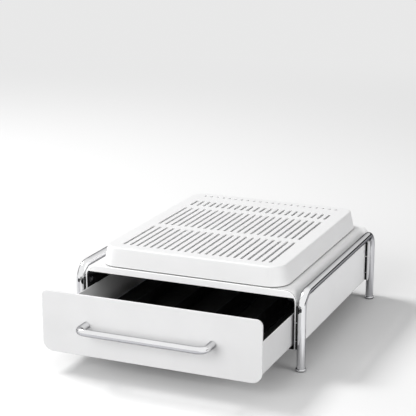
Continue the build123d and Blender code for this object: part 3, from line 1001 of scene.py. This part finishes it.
@dataclass
class Studio:
    """Pale floor and plain soft light, a dark strip at the back that only metal mirrors, and painted
    reflections: darker floor patches that only metal mirrors.
    """

    floor_radius: float = 9.0
    floor_sides: int = 128
    floor_roughness: float = 0.9
    floor_seen: Color = (0.8, 0.8, 0.8)
    floor_mirrored: Color = (0.79, 0.79, 0.8)
    front_painted_reflection: Color = (0.5, 0.5, 0.52)
    front_start: float = -0.14
    front_end: float = -0.24
    front_right: float = 0.19
    front_left: float = 0.13
    rear_painted_reflection: Color = (0.58, 0.58, 0.6)
    rear_start: float = -0.1
    rear_end: float = 0.08
    floor_bounce: Color = (0.42, 0.42, 0.42)
    far_tone: Color = (0.81, 0.81, 0.81)
    fade_start: float = 0.8
    fade_end: float = 2.6
    dome: float = 0.38
    strip_radius: float = 3.0
    strip_height: float = 0.7
    strip_sides: int = 96
    strip_front: float = -0.6
    strip_color: Color = (0.02, 0.02, 0.02)
    lamps: tuple[SoftLamp, ...] = (
        SoftLamp("key_lamp", (-0.85, 0.16, 1.0), 4.0, 1.1, 104.0, mirrored=True),
        SoftLamp("front_fill", (-0.3, -1.0, 0.42), 3.2, 2.0, 70.0),
        SoftLamp("right_fill", (1.0, -0.2, 0.25), 2.8, 1.5, 36.0),
        SoftLamp("left_fill", (-1.0, -0.2, 0.25), 2.8, 1.5, 24.0),
    )

    def build(self) -> None:
        """Builds the floor, the strip, the lamps and the world."""
        self.floor()
        self.strip()
        for lamp in self.lamps:
            lamp.hang()
        self.world()

    def floor(self) -> None:
        """Lays the floor, which turns to an even pale tone far behind the stand; as the metal mirrors
        it, it is darker in front of the drawer's left and behind the stand, painted reflections.
        """
        bpy.ops.object.select_all(action="DESELECT")
        bpy.ops.mesh.primitive_circle_add(
            vertices=self.floor_sides, radius=self.floor_radius, fill_type="NGON"
        )
        floor = bpy.context.object
        floor.name = "studio_floor"
        shade_tree = ShaderTree("studio_floor")
        shade_tree.set(Roughness=self.floor_roughness, Specular_IOR_Level=0.0)
        tree = shade_tree.tree
        # Painted reflections: the floor seen only in the metal is darker at the front left and behind
        # the stand.
        ahead = shade_tree.along("Y", self.front_start, self.front_end)
        front = shade_tree.product(ahead, shade_tree.along("X", self.front_right, self.front_left))
        rear = shade_tree.along("Y", self.rear_start, self.rear_end)
        mirrored = shade_tree.mix(front, self.floor_mirrored, self.front_painted_reflection)
        mirrored = shade_tree.mix(rear, mirrored, self.rear_painted_reflection)
        seen = seen_rays(tree, ("Is Camera Ray",))
        unseen = shade_tree.mix(seen_rays(tree, ("Is Glossy Ray",)), self.floor_bounce, mirrored)
        shade_tree.drive("Base Color", shade_tree.mix(seen, unseen, self.floor_seen))
        reach = tree.nodes.new("ShaderNodeVectorMath")
        reach.operation = "LENGTH"
        tree.links.new(shade_tree.place, reach.inputs[0])
        fade = tree.nodes.new("ShaderNodeMapRange")
        fade.interpolation_type = "SMOOTHSTEP"
        fade.inputs["From Min"].default_value = self.fade_start
        fade.inputs["From Max"].default_value = self.fade_end
        tree.links.new(reach.outputs["Value"], fade.inputs["Value"])
        share = shade_tree.product(fade.outputs["Result"], seen)
        far = tree.nodes.new("ShaderNodeEmission")
        far.inputs["Color"].default_value = (*self.far_tone, 1.0)
        choice = tree.nodes.new("ShaderNodeMixShader")
        tree.links.new(share, choice.inputs["Fac"])
        tree.links.new(shade_tree.shader.outputs["BSDF"], choice.inputs[1])
        tree.links.new(far.outputs["Emission"], choice.inputs[2])
        tree.links.new(choice.outputs["Shader"], tree.nodes["Material Output"].inputs["Surface"])
        floor.data.materials.append(shade_tree.material)

    def strip(self) -> None:
        """Stands the dark strip round the back of the stage, seen by mirrored rays alone."""
        bpy.ops.object.select_all(action="DESELECT")
        bpy.ops.mesh.primitive_cylinder_add(
            vertices=self.strip_sides,
            radius=self.strip_radius,
            depth=self.strip_height,
            end_fill_type="NOTHING",
            location=(0, 0, self.strip_height / 2),
        )
        strip = bpy.context.object
        strip.name = "horizon_strip"
        bpy.ops.object.mode_set(mode="EDIT")
        bpy.ops.mesh.select_mode(type="FACE")
        bpy.ops.mesh.select_all(action="DESELECT")
        bpy.ops.object.mode_set(mode="OBJECT")
        for face in strip.data.polygons:
            face.select = face.center.y < self.strip_front
        bpy.ops.object.mode_set(mode="EDIT")
        bpy.ops.mesh.delete(type="FACE")
        bpy.ops.object.mode_set(mode="OBJECT")
        tree = ShaderTree("horizon_strip")
        tree.set(Roughness=1.0, Specular_IOR_Level=0.0, Base_Color=(*self.strip_color, 1.0))
        strip.data.materials.append(tree.material)
        for ray in ("camera", "diffuse", "transmission", "volume_scatter", "shadow"):
            setattr(strip, f"visible_{ray}", False)

    def world(self) -> None:
        """Sets an even dome: its light for the surfaces, plain white where it is seen or mirrored."""
        world = bpy.data.worlds.new("studio_dome")
        bpy.context.scene.world = world
        world.use_nodes = True
        tree = world.node_tree
        tree.nodes.clear()
        light = tree.nodes.new("ShaderNodeBackground")
        light.inputs["Color"].default_value = (1.0, 1.0, 1.0, 1.0)
        light.inputs["Strength"].default_value = self.dome
        white = tree.nodes.new("ShaderNodeBackground")
        white.inputs["Color"].default_value = (1.0, 1.0, 1.0, 1.0)
        seen = seen_rays(tree, ("Is Camera Ray", "Is Glossy Ray", "Is Transmission Ray"))
        choice = tree.nodes.new("ShaderNodeMixShader")
        tree.links.new(seen, choice.inputs["Fac"])
        tree.links.new(light.outputs["Background"], choice.inputs[1])
        tree.links.new(white.outputs["Background"], choice.inputs[2])
        output = tree.nodes.new("ShaderNodeOutputWorld")
        tree.links.new(choice.outputs["Shader"], output.inputs["Surface"])


def main() -> None:
    """Dresses the frame, builds the new pieces and sets the studio."""
    logging.basicConfig(level=logging.INFO, format="%(message)s")
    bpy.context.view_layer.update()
    shop = Workshop()
    shop.dress()
    Cabinet().build(shop)
    LegFrames().build(shop)
    Drawer().build(shop)
    DrainDeck().build(shop)
    shop.clear()
    PhotoCamera().place()
    Studio().build()
    bpy.context.scene.view_settings.view_transform = "Standard"


if __name__ == "__main__":
    main()
